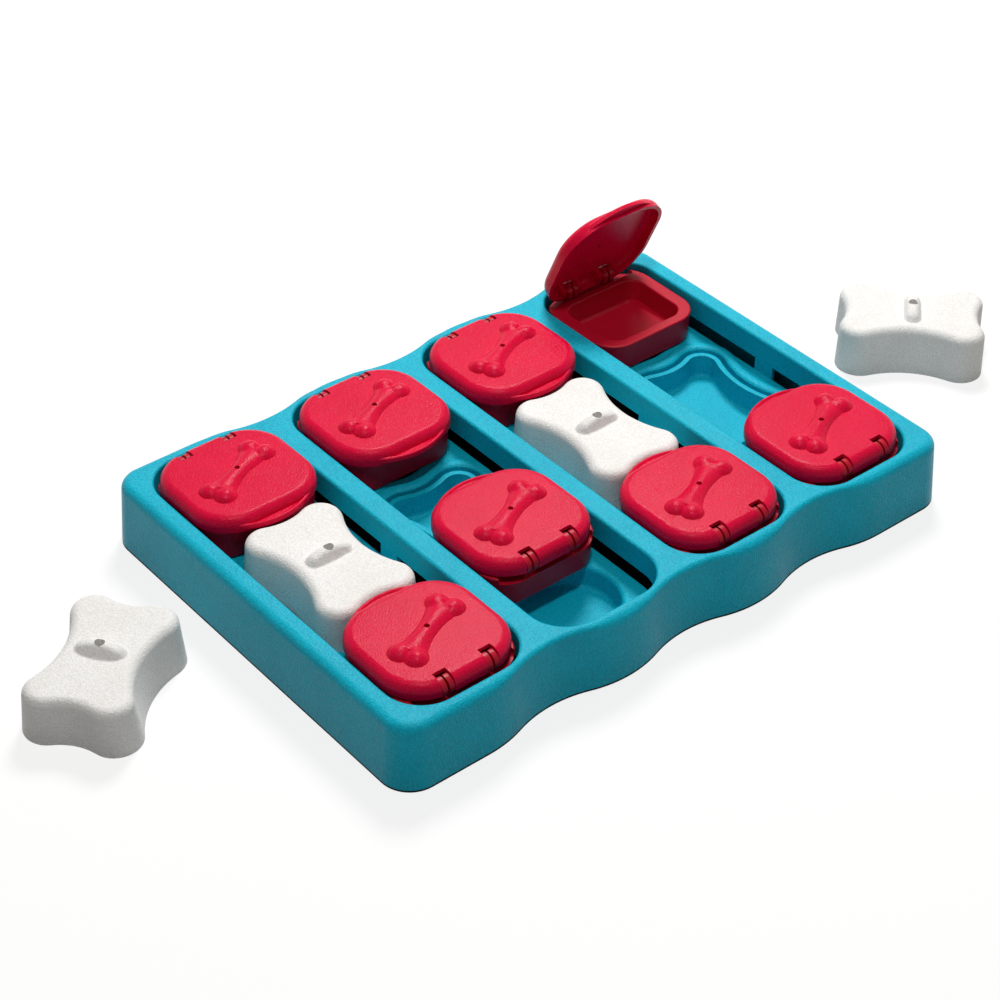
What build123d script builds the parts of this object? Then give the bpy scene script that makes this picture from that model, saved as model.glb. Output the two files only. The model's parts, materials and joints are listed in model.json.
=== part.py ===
"""Dog puzzle feeder: a four-lane tray, eight sliding lidded boxes and four bone caps.

Millimetres.  +X runs across the lanes, +Y along them to the back, +Z up.
The origin is the centre of the tray's footprint, on the table.
"""
from build123d import *
import math
import os

os.makedirs("parts", exist_ok=True)

# ---------------------------------------------------------------- tray
tray_length = 325.0        # along X, at the foot of the skirt
tray_depth = 225.3         # along Y, from crest to crest of the wavy sides
tray_top = 34.7            # height of the deck
skirt_gap = 1.2            # the skirt ends this far above the table
corner_radius = 15.0
wave_depth = 6.54          # from crest to trough of the long sides
skirt_lean = 2.2           # how far the skirt leans in over its height
deck_round = 2.6           # rounding of the deck's outer edge
wall = 2.2                 # moulded wall of the tray

# ---------------------------------------------------------------- lanes
lane_count = 4
lane_divider = 11.86       # deck between two lanes
end_margin = 12.71         # deck from an outer lane to the tray's end
side_margin = 9.15         # deck from a lane's end to the crest of the wavy side
lane_width = (tray_length - 2 * end_margin - (lane_count - 1) * lane_divider) / lane_count
lane_length = tray_depth - 2 * side_margin
lane_pitch = lane_width + lane_divider
lane_corner = 19.0
lane_lean = 0.6            # how far each lane wall leans in towards the floor
lane_lip = 1.5             # rounding of the lane's upper edge
lane_floor = 16.0

slot_height = 6.8          # the guide slots start at the lane floor
slot_bridge = 12.0         # wall left between two slots in the middle of a lane
slot_play = 0.3            # from the end of a slot to the tab of a box that is home

bead_height = 1.1          # beads around the wells stand this far above the floor

# ---------------------------------------------------------------- bone caps
bone_length = 74.6         # outline of the foot, lobe to lobe
bone_width = 54.0
bone_waist = 42.6
bone_ends = 68.4           # length in the hollow of the ends
bone_lobe = 12.0           # radius of a lobe
bone_top_length = 73.0     # outline where the top begins to round
bone_top_width = 48.5
bone_top_waist = 35.0
bone_top_ends = 67.0
bone_top_lobe = 10.0
bone_height = 24.5
bone_round = 4.0           # rounding of the top edge
bone_wall = 1.7
bone_gap = 0.3             # running gap of the foot in its groove
grip_length = 26.0         # finger ridge across the waist
grip_width = 8.0
grip_height = 5.2          # above the top face
scent_hole = 4.6

# ---------------------------------------------------------------- wells
well_floor = 4.5
well_apart = 8.3           # from the bone groove to a round well
well_margin = 8.6          # from a round well to the lane's end
ring_width = 2.8           # wall between the bone well and the groove
groove_floor = 12.0
bone_bead = 6.4            # width of the bead around the groove
bead_lean = 40.0           # slope of a bead's sides, degrees from upright
well_lean = 5.0            # draft of the wells, degrees
ring_lean = 9.0            # draft of the ring inside the bone cap, degrees
well_round = 2.5
groove_end = bone_length / 2 + bone_gap
round_well_radius = (lane_length / 2 - well_margin - groove_end - well_apart) / 2
round_well_y = groove_end + well_apart + round_well_radius

# ---------------------------------------------------------------- sliding boxes
# A box is described in the front half of a lane: its hinge faces -Y.
lane_gap = 2.0             # from each side of a box to the lane's wall, at the rim
end_gap = 3.5              # from a box that is home to the lane's end
bone_clear = 6.3           # from a box that is home to a seated bone cap
box_width = lane_width - 2 * lane_gap
box_outer = end_gap - lane_length / 2
box_inner = -bone_length / 2 - bone_clear
box_corner = 14.5
box_lean = 1.0             # how far the walls lean in towards the foot
box_gap = 0.2              # over the beads
rim_height = 32.0
cup_side = 7.25            # rim between the cup and the box's sides
cup_hinge = 11.5           # rim on the hinge side
cup_front = 5.8            # rim towards the middle of the lane
cup_width = box_width - 2 * cup_side
cup_outer = box_outer + cup_hinge
cup_inner = box_inner - cup_front
cup_corner = 8.0
cup_lean = 1.5

tab_hinge = 7.4            # the guide tab starts this far from the hinge side
tab_front = 2.0            # and ends this far from the other side
tab_outer = box_outer + tab_hinge
tab_inner = box_inner - tab_front
tab_reach = 1.4            # into the slot, beyond the lane wall
tab_height = 4.2
tab_foot = 1.8             # width of the tab's foot, which rides on the slot's ledge
tab_gap = 0.1
bead_gap = 0.9             # the bone beads stop this far short of the lane's walls
bead_limit = lane_width / 2 - bead_gap
tab_corner = 3.0
slot_end = slot_play - tab_outer
cup_floor = 1.6

hinge_inset = 4.0          # hinge line from the box's hinge side
hinge_y = box_outer + hinge_inset
hinge_z = 34.8
hinge_offset = 12.0        # of each lug from the middle of the box
lug_width = 6.0
lug_split = 1.6            # gap between the two ribs of a lug
lug_radius = 2.6
lug_reach = 4.4            # radius of a lug's outer side, which fills the lid's notch
lug_root = 0.85            # a lug is rooted this far below the step
step_floor = 29.2          # the rim is stepped down here for the lid's edge
step_length = 8.2
step_side = 4.0            # rim left at each end of the step
pin_radius = 1.2
pin_gap = 0.08

# ---------------------------------------------------------------- lids
lid_side = 1.2             # the lid stands out over the box's sides
lid_hinge = 0.7            # and over its hinge side
lid_front = 4.0            # and over its other side
stop_gap = 0.3             # from the lid of a pushed-in box to the middle of the lane
lid_width = box_width + 2 * lid_side
lid_outer = box_outer - lid_hinge
lid_inner = box_inner + lid_front
box_travel = -lid_inner - stop_gap
lid_corner = 21.0
lid_bottom = 33.0
lid_top = 40.5
lid_round = 4.6
lid_wall = 2.0
lip_reach = 4.9            # finger lip beyond the lid's inner edge
lip_span = 40.0
lip_bottom = 34.6
lip_top = 37.3
notch_gap = 0.35           # each side of a lug
notch_depth = 7.6
knuckle = 3.0              # width of the block that holds each stub
relief_length = 47.0       # raised bone on the lid
relief_width = 17.5
relief_waist = 9.5
relief_ends = 44.0
relief_lobe = 4.7
relief_height = 3.6
relief_round = 2.6
relief_turn = -64.0        # of the bone's length from the lane's length
lid_hole = 2.6

# ---------------------------------------------------------------- feet
foot_radius = 12.0
middle_foot_radius = 8.0

# ---------------------------------------------------------------- how it stands
slid_box = (2, "front")    # this box is pushed in
open_lid = (4, "back")     # this lid stands open
open_angle = 66.0
seated_lanes = (1, 3)      # lanes with their bone cap on
loose_bones = {            # name: x, y, turn about Z
    "bone_left": (-222.0, 21.0, -54.0),
    "bone_right": (239.5, -15.5, 44.0),
}

box_bottom = lane_floor + bead_height + box_gap
hollow_top = tray_top - wall


def lane_x(lane):
    return (lane - (lane_count + 1) / 2) * lane_pitch


def bone_sketch(length, width, waist, ends, lobe):
    """Four round lobes joined by hollow sides and hollow ends, all arcs tangent."""
    cx, cy = width / 2 - lobe, length / 2 - lobe
    half_waist, half_ends = waist / 2, ends / 2
    side = ((half_waist - cx) ** 2 + cy**2 - lobe**2) / (2 * (lobe + cx - half_waist))
    end = ((half_ends - cy) ** 2 + cx**2 - lobe**2) / (2 * (lobe + cy - half_ends))
    side_angle = math.atan2(cy, half_waist + side - cx)
    end_angle = math.atan2(cx, half_ends + end - cy)

    to_side = (half_waist + side - side * math.cos(side_angle), side * math.sin(side_angle))
    to_end = (end * math.sin(end_angle), half_ends + end - end * math.cos(end_angle))
    lobe_angle = (math.pi / 2 + end_angle - side_angle) / 2
    tip = (cx + lobe * math.cos(lobe_angle), cy + lobe * math.sin(lobe_angle))

    def at(point, i, j):
        return (i * point[0], j * point[1])

    with BuildSketch() as sketch:
        with BuildLine():
            for i in (1, -1):
                ThreePointArc(at(to_side, i, -1), (i * half_waist, 0), at(to_side, i, 1))
                ThreePointArc(at(to_end, -1, i), (0, i * half_ends), at(to_end, 1, i))
                for j in (1, -1):
                    ThreePointArc(at(to_side, i, j), at(tip, i, j), at(to_end, i, j))
        make_face()
    return sketch.sketch


def foot_outline(inset):
    """The bone cap's foot, drawn in by inset (drawn out where it is negative)."""
    return bone_sketch(
        bone_length - 2 * inset,
        bone_width - 2 * inset,
        bone_waist - 2 * inset,
        bone_ends - 2 * inset,
        bone_lobe - inset,
    )


def bead_outline():
    """The bead around a bone groove, before the groove is cut out of it."""
    with BuildSketch() as sketch:
        add(foot_outline(-bone_gap - bone_bead))
        Rectangle(2 * bead_limit, lane_length, mode=Mode.INTERSECT)
    return sketch.sketch


def top_outline(inset):
    """The bone cap's top, drawn in by inset."""
    return bone_sketch(
        bone_top_length - 2 * inset,
        bone_top_width - 2 * inset,
        bone_top_waist - 2 * inset,
        bone_top_ends - 2 * inset,
        bone_top_lobe - inset,
    )


def skirt_outline(inset):
    """Plan of the tray: straight ends, and long sides that wave in at each divider."""
    half_x = tray_length / 2
    crest = tray_depth / 2
    half_wave = lane_pitch / 2
    with BuildSketch() as sketch:
        with BuildLine():
            side_x = -lane_x(1)
            Line((half_x, 0), (half_x, crest - corner_radius))
            RadiusArc((half_x, crest - corner_radius), (half_x - corner_radius, crest), -corner_radius)
            Line((half_x - corner_radius, crest), (side_x, crest))
            mid = crest - wave_depth / 2
            slope = math.atan2(wave_depth / 2, half_wave / 2)
            bend = (half_wave / 2) / math.sin(2 * slope)
            quarter = half_wave / 4
            # the outermost crest falls to the first point of inflection
            drop = bend - math.sqrt(bend**2 - quarter**2)
            ThreePointArc(
                (side_x, crest), (side_x - quarter, crest - drop), (side_x - half_wave / 2, mid)
            )
            turns = 2 * (lane_count - 1) - 1
            for turn in range(turns):
                start = side_x - half_wave / 2 - turn * half_wave
                top = crest - wave_depth if turn % 2 == 0 else crest
                ThreePointArc((start, mid), (start - half_wave / 2, top), (start - half_wave, mid))
            last = side_x - half_wave / 2 - turns * half_wave
            ThreePointArc((last, mid), (last - quarter, crest - drop), (-side_x, crest))
            Line((-side_x, crest), (-half_x + corner_radius, crest))
            RadiusArc((-half_x + corner_radius, crest), (-half_x, crest - corner_radius), -corner_radius)
            Line((-half_x, crest - corner_radius), (-half_x, 0))
            mirror(about=Plane.XZ)
        make_face()
        if inset:
            offset(amount=-inset)
    return sketch.sketch


# ================================================================ tray
lanes = [(lane_x(lane), 0) for lane in range(1, lane_count + 1)]
round_wells = [(x, side * round_well_y) for x, _ in lanes for side in (-1, 1)]
skirt_angle = math.degrees(math.atan2(skirt_lean, tray_top))
lane_angle = math.degrees(math.atan2(lane_lean, tray_top - lane_floor))
ring_inset = bone_wall + bone_gap
pad_top = well_floor - wall

with BuildPart() as moulding:
    # drafted block with a rounded deck edge
    with BuildSketch(Plane.XY.offset(skirt_gap)):
        add(skirt_outline(0))
    extrude(amount=tray_top - skirt_gap, taper=skirt_angle)
    fillet(moulding.edges().group_by(Axis.Z)[-1], radius=deck_round)
    # the moulding is open underneath
    with BuildSketch(Plane.XY.offset(skirt_gap)):
        add(skirt_outline(wall))
    extrude(amount=hollow_top - skirt_gap, taper=skirt_angle, mode=Mode.SUBTRACT)
    # outside of the lane tubs
    with BuildSketch(Plane.XY.offset(lane_floor - wall)):
        with Locations(*lanes):
            RectangleRounded(lane_width + 2 * wall, lane_length + 2 * wall, lane_corner + wall)
    extrude(amount=hollow_top - lane_floor + wall)
    # outside of the wells
    with BuildSketch(Plane.XY.offset(pad_top)):
        with Locations(*round_wells):
            Circle(round_well_radius + wall)
        with Locations(*lanes):
            add(foot_outline(ring_inset + ring_width - wall))
    extrude(amount=lane_floor - well_floor)
    with BuildSketch(Plane.XY.offset(groove_floor - wall)):
        with Locations(*lanes):
            add(foot_outline(-bone_gap - wall))
    extrude(amount=lane_floor - groove_floor)
    # boss for the middle foot
    with BuildSketch(Plane.XY.offset(pad_top)):
        Circle(middle_foot_radius)
    extrude(amount=lane_floor - well_floor)
    # inside of the lanes
    with BuildSketch(Plane.XY.offset(tray_top)):
        with Locations(*lanes):
            RectangleRounded(lane_width, lane_length, lane_corner)
    extrude(amount=lane_floor - tray_top, taper=lane_angle, mode=Mode.SUBTRACT)
    deck_edges = moulding.faces().group_by(Axis.Z)[-1][0].inner_wires()
    fillet([edge for wire in deck_edges for edge in wire.edges()], radius=lane_lip)
    # guide slots in both walls of every lane, with a bridge in the middle
    slot_length = slot_end - slot_bridge / 2
    slot_depth = 4 * wall
    slot_x = lane_width / 2 - 2 * wall + slot_depth / 2
    slot_y = slot_bridge / 2 + slot_length / 2
    with BuildSketch(Plane.XY.offset(lane_floor)):
        for x, _ in lanes:
            with Locations(*[(x + i * slot_x, j * slot_y) for i in (-1, 1) for j in (-1, 1)]):
                Rectangle(slot_depth, slot_length)
    extrude(amount=slot_height, mode=Mode.SUBTRACT)
    # bead around each bone groove
    with BuildSketch(Plane.XY.offset(lane_floor)):
        with Locations(*lanes):
            add(bead_outline())
    extrude(amount=bead_height, taper=bead_lean)
    # groove for the bone cap's foot, and the ring inside it
    with BuildSketch(Plane.XY.offset(groove_floor)):
        with Locations(*lanes):
            add(foot_outline(-bone_gap))
    extrude(amount=lane_floor + bead_height - groove_floor, mode=Mode.SUBTRACT)
    with BuildSketch(Plane.XY.offset(groove_floor)):
        with Locations(*lanes):
            add(foot_outline(ring_inset))
    extrude(amount=lane_floor - groove_floor, taper=ring_lean)
    # wells
    with BuildSketch(Plane.XY.offset(lane_floor)):
        with Locations(*lanes):
            add(foot_outline(ring_inset + ring_width))
        with Locations(*round_wells):
            Circle(round_well_radius)
    extrude(amount=well_floor - lane_floor, taper=well_lean, mode=Mode.SUBTRACT)
    rims = moulding.edges().filter_by(GeomType.CIRCLE).filter_by_position(
        Axis.Z, lane_floor - 0.01, lane_floor + 0.01
    )
    fillet([e for e in rims if abs(e.radius - round_well_radius) < 0.01], radius=well_round)

# The tray is one moulding.  It is divided, face to face, into a shell of skirt and deck, four
# lane tubs, the wells sunk in their floors, and the boss of the middle foot.
split_gap = 0.4            # each cut runs this far outside the wall it frees


def lane_prism(x):
    """The space of one lane tub, up to the underside of the deck."""
    with BuildPart() as prism:
        with BuildSketch():
            with Locations((x, 0)):
                RectangleRounded(
                    lane_width + 2 * wall + 2 * split_gap,
                    lane_length + 2 * wall + 2 * split_gap,
                    lane_corner + wall + split_gap,
                )
        extrude(amount=hollow_top)
    return prism.part


def bone_well_prism(x):
    """The space of one bone well and its groove, up to the lane floor."""
    with BuildPart() as prism:
        with BuildSketch():
            with Locations((x, 0)):
                edge = 2 * (bone_gap + wall + split_gap)
                Rectangle(bone_width + edge, bone_length + edge)
        extrude(amount=lane_floor)
    return prism.part


def round_well_prism(x, y):
    """The space of one round well, up to the lane floor."""
    with BuildPart() as prism:
        with BuildSketch():
            with Locations((x, y)):
                edge = round_well_radius + wall + split_gap
                Rectangle(2 * edge, 2 * edge)
        extrude(amount=lane_floor)
    return prism.part


def boss_prism():
    """The space of the middle foot's boss, under the lane tubs."""
    with BuildPart() as prism:
        with BuildSketch():
            edge = middle_foot_radius + split_gap
            Rectangle(2 * edge, 2 * edge)
        extrude(amount=lane_floor - wall)
    return prism.part


well_prisms = {}
for lane in range(1, lane_count + 1):
    well_prisms[f"bone_well_{lane}"] = bone_well_prism(lane_x(lane))
    for end, side in (("front", -1), ("back", 1)):
        well_prisms[f"round_well_{lane}_{end}"] = round_well_prism(lane_x(lane), side * round_well_y)
well_prisms["middle_boss"] = boss_prism()

for name, prism in well_prisms.items():
    with BuildPart() as well:
        add(moulding.part)
        add(prism, mode=Mode.INTERSECT)
    well.part.label = name
    export_step(well.part, f"parts/{name}.step")

for lane in range(1, lane_count + 1):
    with BuildPart() as tub:
        add(moulding.part)
        add(lane_prism(lane_x(lane)), mode=Mode.INTERSECT)
        add(list(well_prisms.values()), mode=Mode.SUBTRACT)
    tub.part.label = f"lane_{lane}"
    export_step(tub.part, f"parts/lane_{lane}.step")

with BuildPart() as shell:
    add(moulding.part)
    add([lane_prism(lane_x(lane)) for lane in range(1, lane_count + 1)], mode=Mode.SUBTRACT)
    add(boss_prism(), mode=Mode.SUBTRACT)
shell.part.label = "tray_shell"
export_step(shell.part, "parts/tray_shell.step")

# ================================================================ feet
foot_places = {
    "foot_front_left": (lane_x(1), -round_well_y, foot_radius),
    "foot_front_right": (lane_x(lane_count), -round_well_y, foot_radius),
    "foot_back_left": (lane_x(1), round_well_y, foot_radius),
    "foot_back_right": (lane_x(lane_count), round_well_y, foot_radius),
    "foot_middle": (0, 0, middle_foot_radius),
}
for name, (x, y, radius) in foot_places.items():
    with BuildPart() as foot:
        with BuildSketch():
            with Locations((x, y)):
                Circle(radius)
        extrude(amount=pad_top)
    foot.part.label = name
    export_step(foot.part, f"parts/{name}.step")

# ================================================================ bone caps
# The cap is drawn standing on its foot at Z = 0, its length along Y.
hollow_height = bone_height - bone_wall
grip_top = bone_height + grip_height
grip_drop = 2.6            # the ridge's ends lie this much lower than its middle
grip_round = 2.2
grip_wall = 2.1

with BuildPart() as grip:
    with BuildSketch(Plane.XY.offset(hollow_height)):
        SlotOverall(grip_length, grip_width)
    extrude(amount=grip_top - hollow_height + 1)
    half_grip = grip_length / 2
    arch = (half_grip**2 + grip_drop**2) / (2 * grip_drop)
    with BuildSketch(Plane.XZ):
        with Locations((0, grip_top - arch)):
            Circle(arch)
    extrude(amount=grip_width, both=True, mode=Mode.INTERSECT)
    crest = grip.edges().filter_by_position(Axis.Z, bone_height + 1, grip_top + 1)
    fillet(crest.filter_by(lambda e: abs(e.tangent_at(0.5).Z) < 0.7), radius=grip_round)

with BuildPart() as cap:
    with BuildSketch():
        add(foot_outline(0))
    with BuildSketch(Plane.XY.offset(bone_height)):
        add(top_outline(0))
    loft(ruled=True)
    fillet(cap.faces().sort_by(Axis.Z)[-1].edges(), radius=bone_round)
    add(grip.part)
    # hollow underneath, up into the finger ridge
    with BuildSketch():
        add(foot_outline(bone_wall))
    lean = hollow_height / bone_height
    with BuildSketch(Plane.XY.offset(hollow_height)):
        add(
            bone_sketch(
                bone_length + (bone_top_length - bone_length) * lean - 2 * bone_wall,
                bone_width + (bone_top_width - bone_width) * lean - 2 * bone_wall,
                bone_waist + (bone_top_waist - bone_waist) * lean - 2 * bone_wall,
                bone_ends + (bone_top_ends - bone_ends) * lean - 2 * bone_wall,
                bone_lobe + (bone_top_lobe - bone_lobe) * lean - bone_wall,
            )
        )
    loft(ruled=True, mode=Mode.SUBTRACT)
    with BuildSketch(Plane.XY.offset(hollow_height)):
        SlotOverall(grip_length - 2 * grip_wall, grip_width - 2 * grip_wall)
    extrude(amount=grip_height - grip_drop, mode=Mode.SUBTRACT)
    with BuildSketch(Plane.XY.offset(hollow_height)):
        Circle(scent_hole / 2)
    extrude(amount=grip_top, mode=Mode.SUBTRACT)

bone_places = {f"bone_{lane}": Location((lane_x(lane), 0, groove_floor)) for lane in seated_lanes}
for name, (x, y, turn) in loose_bones.items():
    bone_places[name] = Location((x, y, 0), (0, 0, turn))
for name, place in bone_places.items():
    with BuildPart() as bone:
        with Locations(place):
            add(cap.part)
    bone.part.label = name
    export_step(bone.part, f"parts/{name}.step")

# ================================================================ sliding boxes
box_y = (box_outer + box_inner) / 2
box_length = box_inner - box_outer
cup_y = (cup_outer + cup_inner) / 2
cup_length = cup_inner - cup_outer
box_angle = math.degrees(math.atan2(box_lean, rim_height - box_bottom))
cup_angle = math.degrees(math.atan2(cup_lean, rim_height - box_bottom))
rib_width = (lug_width - lug_split) / 2

with BuildPart() as drawer:
    with BuildSketch(Plane.XY.offset(rim_height)):
        with Locations((0, box_y)):
            RectangleRounded(box_width, box_length, box_corner)
    extrude(amount=box_bottom - rim_height, taper=box_angle)
    # guide tabs
    tab_y = (tab_outer + tab_inner) / 2
    with BuildSketch(Plane.XY.offset(box_bottom)):
        with Locations((0, tab_y)):
            RectangleRounded(lane_width + 2 * tab_reach, tab_inner - tab_outer, tab_corner)
    extrude(amount=tab_height)
    with BuildSketch(Plane.XY.offset(lane_floor + tab_gap)):
        with Locations((0, tab_y)):
            tab_width = lane_width + 2 * tab_reach
            RectangleRounded(tab_width, tab_inner - tab_outer, tab_corner)
            Rectangle(tab_width - 2 * tab_foot, tab_inner - tab_outer, mode=Mode.SUBTRACT)
    extrude(amount=box_bottom + tab_foot - lane_floor)
    # cup
    with BuildSketch(Plane.XY.offset(rim_height)):
        with Locations((0, cup_y)):
            RectangleRounded(cup_width, cup_length, cup_corner)
    extrude(amount=box_bottom + cup_floor - rim_height, taper=cup_angle, mode=Mode.SUBTRACT)
    # step for the lid's hinge edge
    with BuildSketch(Plane.XY.offset(step_floor)):
        with Locations((0, box_outer + (step_length - 1) / 2)):
            Rectangle(box_width - 2 * step_side, step_length + 1)
    extrude(amount=rim_height - step_floor, mode=Mode.SUBTRACT)
    # split lugs
    for lug_x in (-hinge_offset, hinge_offset):
        for rib_x in (lug_x - lug_width / 2, lug_x + lug_split / 2):
            with BuildSketch(Plane.YZ.offset(rib_x)):
                # wide on the outer side, small on the inner side and open behind
                with Locations((hinge_y, hinge_z)):
                    Circle(lug_reach)
                with Locations((hinge_y + lug_reach, hinge_z)):
                    Rectangle(2 * lug_reach, 2 * lug_reach, mode=Mode.SUBTRACT)
                with Locations((hinge_y, hinge_z - lug_reach)):
                    Rectangle(2 * lug_reach, 2 * lug_reach, mode=Mode.SUBTRACT)
                with Locations((hinge_y, hinge_z)):
                    Circle(lug_radius)
                root = step_floor - lug_root
                with Locations((hinge_y + (lug_radius - lug_reach) / 2, (root + hinge_z) / 2)):
                    Rectangle(lug_radius + lug_reach, hinge_z - root)
                with Locations((hinge_y, hinge_z)):
                    Circle(pin_radius + pin_gap, mode=Mode.SUBTRACT)
            extrude(amount=rib_width)

# ================================================================ lids
lid_y = (lid_outer + lid_inner) / 2
lid_length = lid_inner - lid_outer


def relief_sketch(inset):
    """The raised bone on a lid, drawn in by inset."""
    return bone_sketch(
        relief_length - 2 * inset,
        relief_width - 2 * inset,
        relief_waist - 2 * inset,
        relief_ends - 2 * inset,
        relief_lobe - inset,
    )


with BuildPart() as cover:
    with BuildSketch(Plane.XY.offset(lid_bottom)):
        with Locations((0, lid_y)):
            RectangleRounded(lid_width, lid_length, lid_corner)
    extrude(amount=lid_top - lid_bottom)
    fillet(cover.edges().group_by(Axis.Z)[-1], radius=lid_round)
    # finger lip
    half_span = lip_span / 2
    quarter_rise = lip_reach / 2
    lip_arc = ((half_span / 2) ** 2 + quarter_rise**2) / (2 * quarter_rise)
    ease = lip_arc - math.sqrt(lip_arc**2 - (half_span / 4) ** 2)
    with BuildSketch(Plane.XY.offset(lip_bottom)):
        with BuildLine():
            bend_x, bend_y = half_span / 2, lid_inner + quarter_rise
            ThreePointArc(
                (half_span, lid_inner), (half_span * 0.75, lid_inner + ease), (bend_x, bend_y)
            )
            ThreePointArc((bend_x, bend_y), (0, lid_inner + lip_reach), (-bend_x, bend_y))
            ThreePointArc(
                (-bend_x, bend_y), (-half_span * 0.75, lid_inner + ease), (-half_span, lid_inner)
            )
            lip_root = lid_inner - lid_corner / 3
            Polyline(
                (-half_span, lid_inner),
                (-half_span, lip_root),
                (half_span, lip_root),
                (half_span, lid_inner),
            )
        make_face()
    extrude(amount=lip_top - lip_bottom)
    # raised bone
    with BuildSketch(Plane.XY.offset(lid_top - 0.5)):
        with Locations((0, lid_y)):
            add(relief_sketch(0), rotation=relief_turn)
    extrude(amount=relief_height + 0.5)
    fillet(cover.faces().sort_by(Axis.Z)[-1].edges(), radius=relief_round)
    # hollow underneath
    with BuildSketch(Plane.XY.offset(lid_bottom)):
        with Locations((0, lid_y)):
            RectangleRounded(
                lid_width - 2 * lid_wall, lid_length - 2 * lid_wall, lid_corner - lid_wall
            )
    extrude(amount=lid_top - lid_wall - lid_bottom, mode=Mode.SUBTRACT)
    with BuildSketch(Plane.XY.offset(lid_top - lid_wall - 0.5)):
        with Locations((0, lid_y)):
            add(relief_sketch(lid_wall), rotation=relief_turn)
    extrude(amount=relief_height, mode=Mode.SUBTRACT)
    with BuildSketch(Plane.XY.offset(lid_bottom)):
        with Locations((0, lid_y)):
            Circle(lid_hole / 2)
    extrude(amount=lid_top + relief_height - lid_bottom, mode=Mode.SUBTRACT)
    # knuckles, notches for the lugs, and the stubs that snap into them
    notch_half = lug_width / 2 + notch_gap
    with BuildSketch(Plane.XY.offset(hinge_z - 1.4)):
        for lug_x in (-hinge_offset, hinge_offset):
            with Locations((lug_x, lid_outer + notch_depth / 2 + lid_wall / 2)):
                Rectangle(2 * (notch_half + knuckle), notch_depth + lid_wall)
    extrude(amount=lid_top - lid_wall - hinge_z + 1.4)
    for depth, height in ((notch_depth, lid_top), (notch_depth + lid_wall, lid_top - lid_wall)):
        with BuildSketch(Plane.XY.offset(lid_bottom)):
            for lug_x in (-hinge_offset, hinge_offset):
                with Locations((lug_x, lid_outer + (depth - 1) / 2)):
                    Rectangle(2 * notch_half, depth + 1)
        extrude(amount=height - lid_bottom, mode=Mode.SUBTRACT)
    for lug_x in (-hinge_offset, hinge_offset):
        for start in (lug_x - notch_half - 0.5, lug_x + lug_split / 2):
            with BuildSketch(Plane.YZ.offset(start)):
                with Locations((hinge_y, hinge_z)):
                    Circle(pin_radius)
            extrude(amount=notch_half - lug_split / 2 + 0.5)

# ================================================================ eight boxes with their lids
hinge_line = Location((0, hinge_y, hinge_z))
for lane in range(1, lane_count + 1):
    for end, half_turn in (("front", 0), ("back", 180)):
        place = Location((lane_x(lane), 0, 0), (0, 0, half_turn))
        if (lane, end) == slid_box:
            place = place * Location((0, box_travel, 0))
        lid_place = place
        if (lane, end) == open_lid:
            lid_place = place * hinge_line * Location((0, 0, 0), (open_angle, 0, 0))
            lid_place = lid_place * hinge_line.inverse()
        with BuildPart() as box:
            with Locations(place):
                add(drawer.part)
        box.part.label = f"box_{lane}_{end}"
        export_step(box.part, f"parts/box_{lane}_{end}.step")
        with BuildPart() as lid:
            with Locations(lid_place):
                add(cover.part)
        lid.part.label = f"lid_{lane}_{end}"
        export_step(lid.part, f"parts/lid_{lane}_{end}.step")
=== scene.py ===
"""Looks for a dog puzzle feeder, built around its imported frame."""

import json
import math

import bmesh
import bpy
from mathutils import Matrix, Vector


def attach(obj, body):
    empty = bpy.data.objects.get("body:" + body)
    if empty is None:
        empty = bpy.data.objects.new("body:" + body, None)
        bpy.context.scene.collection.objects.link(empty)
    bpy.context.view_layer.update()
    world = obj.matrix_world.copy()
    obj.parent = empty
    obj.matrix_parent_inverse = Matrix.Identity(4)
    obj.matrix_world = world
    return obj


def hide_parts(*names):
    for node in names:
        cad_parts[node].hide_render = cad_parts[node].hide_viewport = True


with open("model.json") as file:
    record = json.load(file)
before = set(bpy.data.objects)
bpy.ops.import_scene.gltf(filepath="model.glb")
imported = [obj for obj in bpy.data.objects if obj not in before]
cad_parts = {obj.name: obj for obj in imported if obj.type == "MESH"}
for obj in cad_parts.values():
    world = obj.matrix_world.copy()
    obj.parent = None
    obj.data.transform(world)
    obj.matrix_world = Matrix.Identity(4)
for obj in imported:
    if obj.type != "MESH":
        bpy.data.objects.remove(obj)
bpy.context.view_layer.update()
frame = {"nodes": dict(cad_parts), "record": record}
MM = 0.001


def colour(hex_code):
    """An sRGB hex value as linear RGBA."""
    def linear(byte):
        value = int(byte, 16) / 255
        return value / 12.92 if value <= 0.04045 else ((value + 0.055) / 1.055) ** 2.4
    return tuple(linear(hex_code[i:i + 2]) for i in (0, 2, 4)) + (1.0,)


def add_node(tree, kind, settings=None, links=None):
    """Adds a node, sets its properties and input values, and links its inputs."""
    node = tree.nodes.new(kind)
    for key, value in (settings or {}).items():
        if isinstance(key, int) or key in node.inputs:
            node.inputs[key].default_value = value
        else:
            setattr(node, key, value)
    for key, socket in (links or {}).items():
        tree.links.new(socket, node.inputs[key])
    return node


# ------------------------------------------------------------------ sizes, in millimetres
SPARE = 1.0  # how far a cutting shape reaches past what it cuts

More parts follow.
